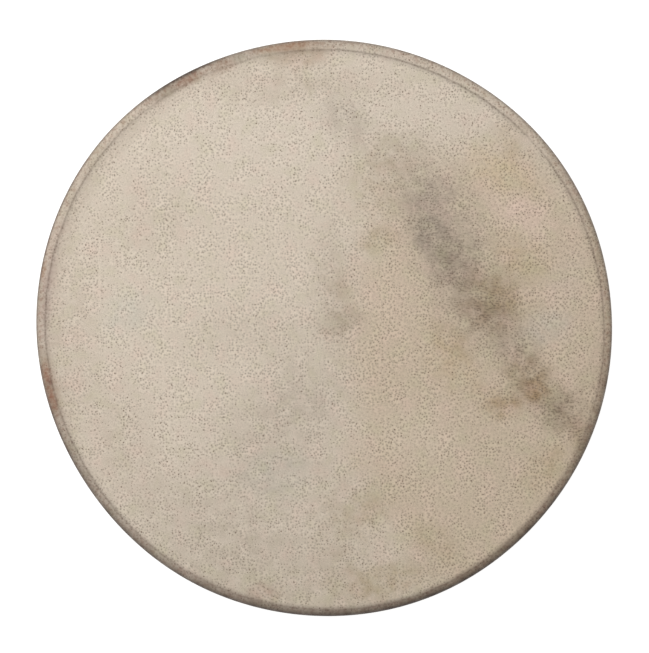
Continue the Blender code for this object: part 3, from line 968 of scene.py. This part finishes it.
def build_hoop(form, materials):
    """The bent hoop, with its long lapped joint and the pegs that hold it."""
    s = form.sizes
    angle = 2 * math.pi * np.arange(HOOP_COLUMNS) / HOOP_COLUMNS
    shoulder = (form.hoop_outer - s.front_round, form.hoop_top - s.front_round)
    heel = (form.hoop_outer - s.back_round, form.hoop_bottom + s.back_round)
    toe = (form.hoop_inner + s.back_round, heel[1])
    crest = (form.hoop_inner + BEARING_ROUND, form.hoop_top - BEARING_ROUND)
    profile = arc(shoulder, s.front_round, 90, 0, 8)
    profile += [(form.hoop_outer, z) for z in np.linspace(shoulder[1], heel[1], 10)[1:-1]]
    profile += arc(heel, s.back_round, 0, -90, 4) + arc(toe, s.back_round, -90, -180, 4)
    profile += [(form.hoop_inner, z) for z in np.linspace(toe[1], crest[1], 16)[1:-1]]
    profile += arc(crest, BEARING_ROUND, 180, 90, 3)
    skin = Skin()
    rings = []
    for radius, height in profile:
        inner = radius < (form.hoop_inner + form.hoop_outer) / 2
        past = angle - math.pi + LAP_SLANT * (height - s.depth / 2) / form.radius
        step = np.where(past > 0, LAP_STEP * (1 - smooth(0, LAP_TAPER, past)), 0)
        worn = HOOP_WEAR * random_waves(21, (5, 9, 14, 23), angle + height * 9)
        round_way = (angle - math.pi) * form.radius
        rings.append(
            skin.add(
                form.place(angle, radius + (step + np.abs(worn)) * inner, height + 0 * angle),
                band=np.stack(np.broadcast_arrays(round_way, height, radius), axis=-1),
            )
        )
    skin.join(rings + rings[:1])
    pegs = [(math.pi - 0.05 - 0.075 * column, row) for column in range(3) for row in (0.3, 0.7)]
    for turn, row in pegs:
        peg = []
        for out, reach in PEG_RINGS:
            way = np.linspace(0, 2 * math.pi, PEG_SIDES, endpoint=False)
            z = row * s.depth + reach * MM * np.sin(way)
            around = turn - reach * MM * np.cos(way) / form.hoop_inner
            peg.append(
                skin.add(
                    form.place(around, form.hoop_inner + out * MM + 0 * around, z),
                    band=np.stack([around * 0, z, around * 0], axis=-1),
                )
            )
        skin.face([tuple(peg[0][::-1])], 1)
        skin.join(peg, 1)
        skin.face([tuple(peg[-1])], 1)
    return skin.build("bent_hoop", materials)


LACE_SIDES = 12
LACE_SNUG = 0.00004
# How far a corner of the lace's section lies from the next, for its fibres
LACE_SIDE = 0.0007
TWIST_STEP = 0.0022
TWIST_EASE = 0.009
# The lace's end is wound round the ring three times and a little more
WRAPS, WRAP_STEPS, WRAP_SPARE = 3, 22, 9
WRAP_START, WRAP_PITCH = math.radians(-5.5), math.radians(6.1)
WRAP_SNUG = 0.00005


def lace_line(form):
    """The lace's turns through each hole and over the ring between them, and its random draws."""
    s = form.sizes
    half = s.lace_thickness / 2
    reach, height = form.hide_at(form.border_start + form.hole_run, 0)
    wrap = s.hide / 2 + half + LACE_SNUG
    at_hide = (reach - s.hole_width / 2 + half + LACE_SNUG - wrap, height + 0.0001)
    at_ring = (form.ring_radius, form.ring_height)
    over_ring = s.ring_section / 2 + half + LACE_SNUG
    draw = random.Random(17)
    turns = []
    for hole in range(s.holes):
        shift = draw.uniform(-0.018, 0.018)
        for angle, middle, radius, start, end, steps in (
            ((hole - 0.5) * form.hole_step + shift, at_ring, over_ring, 90, 270, 14),
            (hole * form.hole_step, at_hide, wrap, -90, 90, 10),
        ):
            points = arc(middle, radius, start, end, steps)
            turns.append(np.array([form.place(angle, r, z) for r, z in points]))
    return turns, draw


def lace_ring(skin, point, side, up, size, roll, along):
    """Adds a flat lace's section at a point: its width and thickness, rolled by an angle."""
    around = 2 * math.pi * np.arange(LACE_SIDES) / LACE_SIDES
    c, d = np.cos(around), np.sin(around)
    bulge = 2.6
    across = np.sign(c) * np.abs(c) ** (2 / bulge) * size[0] / 2
    out = np.sign(d) * np.abs(d) ** (2 / bulge) * size[1] / 2
    across, out = (
        across * math.cos(roll) - out * math.sin(roll),
        across * math.sin(roll) + out * math.cos(roll),
    )
    corner = np.arange(LACE_SIDES) * LACE_SIDE
    return skin.add(
        point + np.outer(across, side) + np.outer(out, up),
        strand=np.stack([along + 0 * corner, corner, 0 * corner], axis=-1),
    )


def lay_lace(skin, route, rolls, widths):
    """Lays a closed lace along a route of points."""
    s = np.concatenate([[0], np.cumsum(np.linalg.norm(np.diff(route, axis=0), axis=1))])
    side = None
    rings = []
    for i, point in enumerate(route):
        ahead = route[(i + 1) % len(route)] - route[i - 1]
        ahead = ahead / np.linalg.norm(ahead)
        if side is None:
            side = np.cross((0, 0, 1), ahead)
        side = side - ahead * side.dot(ahead)
        side = side / np.linalg.norm(side)
        up = np.cross(side, ahead)
        rings.append(lace_ring(skin, point, side, up, widths[i], rolls[i], s[i]))
    skin.join(rings)
    last, first = rings[-1], rings[0]
    shift = closing_shift(np.concatenate(skin.points), last, first)
    skin.face(stitch(last, first[shift:] + first[:shift]))


def closing_shift(points, last, first):
    """How far round the first ring must be turned to meet the last one without a twist."""
    gaps = []
    for shift in range(LACE_SIDES):
        turned = first[shift:] + first[:shift]
        gaps.append(np.linalg.norm(points[last] - points[turned], axis=1).sum())
    return int(np.argmin(gaps))


def lay_wrap(skin, form, route, widths):
    """Lays the end of the lace flat on the ring: its thickness points away from the ring's middle."""
    rings = []
    for i, point in enumerate(route):
        ahead = route[min(i + 1, len(route) - 1)] - route[max(i - 1, 0)]
        ahead = ahead / np.linalg.norm(ahead)
        angle = math.atan2(point[1] + form.middle[1], point[0] + form.middle[0])
        up = point - form.place(np.array(angle), np.array(form.ring_radius), form.ring_height)
        up = up - ahead * up.dot(ahead)
        up = up / np.linalg.norm(up)
        side = np.cross(ahead, up)
        rings.append(lace_ring(skin, point, side, up, widths[i], 0, i * 0.0015))
    skin.join(rings)
    skin.face([tuple(rings[0]), tuple(rings[-1][::-1])])


def build_lacing(form, materials):
    """The one long lace, drawn from hole to ring sixteen times, with its end wound on the ring."""
    s = form.sizes
    turns, draw = lace_line(form)
    route, rolls, widths = [], [], []
    rest = 0.0
    for number, turn in enumerate(turns):
        route.extend(turn)
        rolls.extend([rest] * len(turn))
        span = turns[(number + 1) % len(turns)][0] - turn[-1]
        length = np.linalg.norm(span)
        steps = round(length / TWIST_STEP)
        twists = draw.choice((5, 6, 6, 7)) * draw.choice((1, 1, 1, -1))
        for step in range(1, steps):
            share = smooth(TWIST_EASE, length - TWIST_EASE, step / steps * length)
            route.append(turn[-1] + span * step / steps)
            rolls.append(rest + math.pi * twists * share)
        rest = rest + math.pi * twists
    for i in range(len(route)):
        uneven = 1 + 0.05 * math.sin(i * 0.61) + 0.04 * math.sin(i * 0.173 + 1)
        widths.append((s.lace_width * uneven, s.lace_thickness / uneven))
    skin = Skin()
    lay_lace(skin, np.array(route), rolls, widths)

    # The end, wound tightly round the ring beside its first turn, with the tip tucked under
    reach = s.ring_section / 2 + s.lace_thickness / 2 + WRAP_SNUG
    last = WRAPS * WRAP_STEPS + WRAP_SPARE - 1
    winding, wound = [], []
    for step in range(last + 1):
        way = math.radians(-100) - 2 * math.pi * step / WRAP_STEPS
        angle = np.array(WRAP_START + WRAP_PITCH * step / WRAP_STEPS)
        radius = np.array(form.ring_radius + reach * math.cos(way))
        winding.append(form.place(angle, radius, form.ring_height + reach * math.sin(way)))
        taper = min(1, 0.45 + step * 0.12, 0.45 + (last - step) * 0.12)
        wound.append((s.lace_width * taper, s.lace_thickness * min(1, taper + 0.2)))
    lay_wrap(skin, form, np.array(winding), wound)
    return skin.build("rawhide_lacing", materials, sharp=60)


def build_grip_ring(form, materials):
    """The turned grip ring, a little worn out of true by the hand."""
    columns, sides = 200, 32
    angle = 2 * math.pi * np.arange(columns) / columns
    skin = Skin()
    rings = []
    for side in range(sides):
        way = math.pi / 2 - 2 * math.pi * side / sides
        worn = 1 - 0.012 * (1 + random_waves(31, (2, 3, 5, 8), angle + math.cos(way)))
        reach = form.sizes.ring_section / 2 * worn
        radius = form.ring_radius + reach * math.cos(way)
        rings.append(skin.add(form.place(angle, radius, form.ring_height + reach * math.sin(way))))
    skin.join(rings + rings[:1])
    return skin.build("turned_grip_ring", materials)


class DRUM_OT_stage(bpy.types.Operator):
    """Adds the light table, the studio lights and the camera"""

    bl_idname = "frame_drum.stage"
    bl_label = "Stage"

    def execute(self, context):
        stage = context.scene.frame_drum_stage
        form = DrumForm(context.scene.frame_drum_sizes)
        s = form.sizes
        bpy.ops.mesh.primitive_plane_add(size=stage.table, location=(0, 0, 0))
        table = context.object
        table.name = "light_table"
        # Opal acrylic lit from below: an even white with almost no shadow on it
        material, _, shader = new_material("opal_acrylic", 0.5, 1.49)
        glow = {"Emission Color": (1, 1, 1, 1), "Emission Strength": stage.table_light}
        feed(shader, {"Base Color": opaque("#a4a4a4"), **glow})
        table.data.materials.append(material)

        key = bpy.data.lights.new("soft_key", "AREA")
        key.shape = "DISK"
        key.size = stage.key_size
        key.energy = stage.key
        lamp = bpy.data.objects.new("soft_key", key)
        level = math.cos(stage.key_height) * stage.key_reach
        lamp.location = (
            level * math.cos(stage.key_side),
            level * math.sin(stage.key_side),
            math.sin(stage.key_height) * stage.key_reach,
        )
        lamp.rotation_euler = (-Vector(lamp.location)).to_track_quat("-Z", "Y").to_euler()
        context.scene.collection.objects.link(lamp)

        world = bpy.data.worlds.new("even_room")
        world.use_nodes = True
        feed(
            world.node_tree.nodes["Background"], {"Color": (1, 1, 1, 1), "Strength": stage.sky}
        )
        context.scene.world = world
        context.scene.view_settings.view_transform = "Standard"

        # The camera looks straight down, so far off that the widest line is the photo's size.
        camera = bpy.data.cameras.new("camera")
        camera.lens = LENS
        camera.sensor_width = SENSOR
        scale = PHOTO_RADIUS / form.radius
        widest = s.depth - s.front_round - s.fit - s.hide
        eye = bpy.data.objects.new("camera", camera)
        eye.location = (
            (PHOTO_SIZE[0] / 2 - PHOTO_MIDDLE[0]) / scale - form.middle[0],
            (PHOTO_MIDDLE[1] - PHOTO_SIZE[1] / 2) / scale - form.middle[1],
            widest + max(PHOTO_SIZE) / scale * LENS / SENSOR,
        )
        context.scene.collection.objects.link(eye)
        context.scene.camera = eye
        return {"FINISHED"}


def dress(piece, node):
    """Makes a piece stand for its construction node and ride with the drum."""
    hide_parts(node)
    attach(piece, "root")


class DRUM_OT_head(bpy.types.Operator):
    """Adds the rawhide head"""

    bl_idname = "frame_drum.head"
    bl_label = "Rawhide Head"

    def execute(self, context):
        scene = context.scene
        form = DrumForm(scene.frame_drum_sizes)
        colours = scene.frame_drum_colours
        piece = build_head(form, (grain_side(form.sizes, colours), flesh_side(colours)))
        dress(piece, "head")
        return {"FINISHED"}


class DRUM_OT_hoop(bpy.types.Operator):
    """Adds the bent wooden hoop"""

    bl_idname = "frame_drum.hoop"
    bl_label = "Bent Hoop"

    def execute(self, context):
        scene = context.scene
        form = DrumForm(scene.frame_drum_sizes)
        piece = build_hoop(form, (bent_ash(scene.frame_drum_colours), whittled_peg()))
        dress(piece, "hoop")
        return {"FINISHED"}


class DRUM_OT_lacing(bpy.types.Operator):
    """Adds the twisted rawhide lace"""

    bl_idname = "frame_drum.lacing"
    bl_label = "Lacing"

    def execute(self, context):
        scene = context.scene
        form = DrumForm(scene.frame_drum_sizes)
        piece = build_lacing(form, (twisted_lace(scene.frame_drum_colours),))
        dress(piece, "lacing")
        return {"FINISHED"}


class DRUM_OT_grip_ring(bpy.types.Operator):
    """Adds the turned grip ring"""

    bl_idname = "frame_drum.grip_ring"
    bl_label = "Grip Ring"

    def execute(self, context):
        scene = context.scene
        form = DrumForm(scene.frame_drum_sizes)
        piece = build_grip_ring(form, (turned_cherry(scene.frame_drum_colours),))
        dress(piece, "grip_ring")
        return {"FINISHED"}


OPERATORS = (DRUM_OT_stage, DRUM_OT_head, DRUM_OT_hoop, DRUM_OT_lacing, DRUM_OT_grip_ring)
GROUPS = {
    "frame_drum_sizes": DrumSizes,
    "frame_drum_colours": DrumColours,
    "frame_drum_stage": DrumStage,
}


class DRUM_PT_sidebar(bpy.types.Panel):
    """Lists the drum's pieces, sizes and colours"""

    bl_idname = "DRUM_PT_sidebar"
    bl_label = "Frame Drum"
    bl_space_type = "VIEW_3D"
    bl_region_type = "UI"
    bl_category = "Drum"

    def draw(self, context):
        for operator in OPERATORS:
            self.layout.operator(operator.bl_idname)
        for key, group in GROUPS.items():
            box = self.layout.box()
            for name in group.__annotations__:
                box.prop(getattr(context.scene, key), name)


CLASSES = (*GROUPS.values(), *OPERATORS, DRUM_PT_sidebar)


def register():
    for item in CLASSES:
        bpy.utils.register_class(item)
    for key, group in GROUPS.items():
        setattr(bpy.types.Scene, key, bpy.props.PointerProperty(type=group))


def unregister():
    for key in GROUPS:
        delattr(bpy.types.Scene, key)
    for item in reversed(CLASSES):
        bpy.utils.unregister_class(item)


def main():
    register()
    bpy.ops.frame_drum.stage()
    bpy.ops.frame_drum.head()
    bpy.ops.frame_drum.hoop()
    bpy.ops.frame_drum.lacing()
    bpy.ops.frame_drum.grip_ring()


if __name__ == "__main__":
    main()
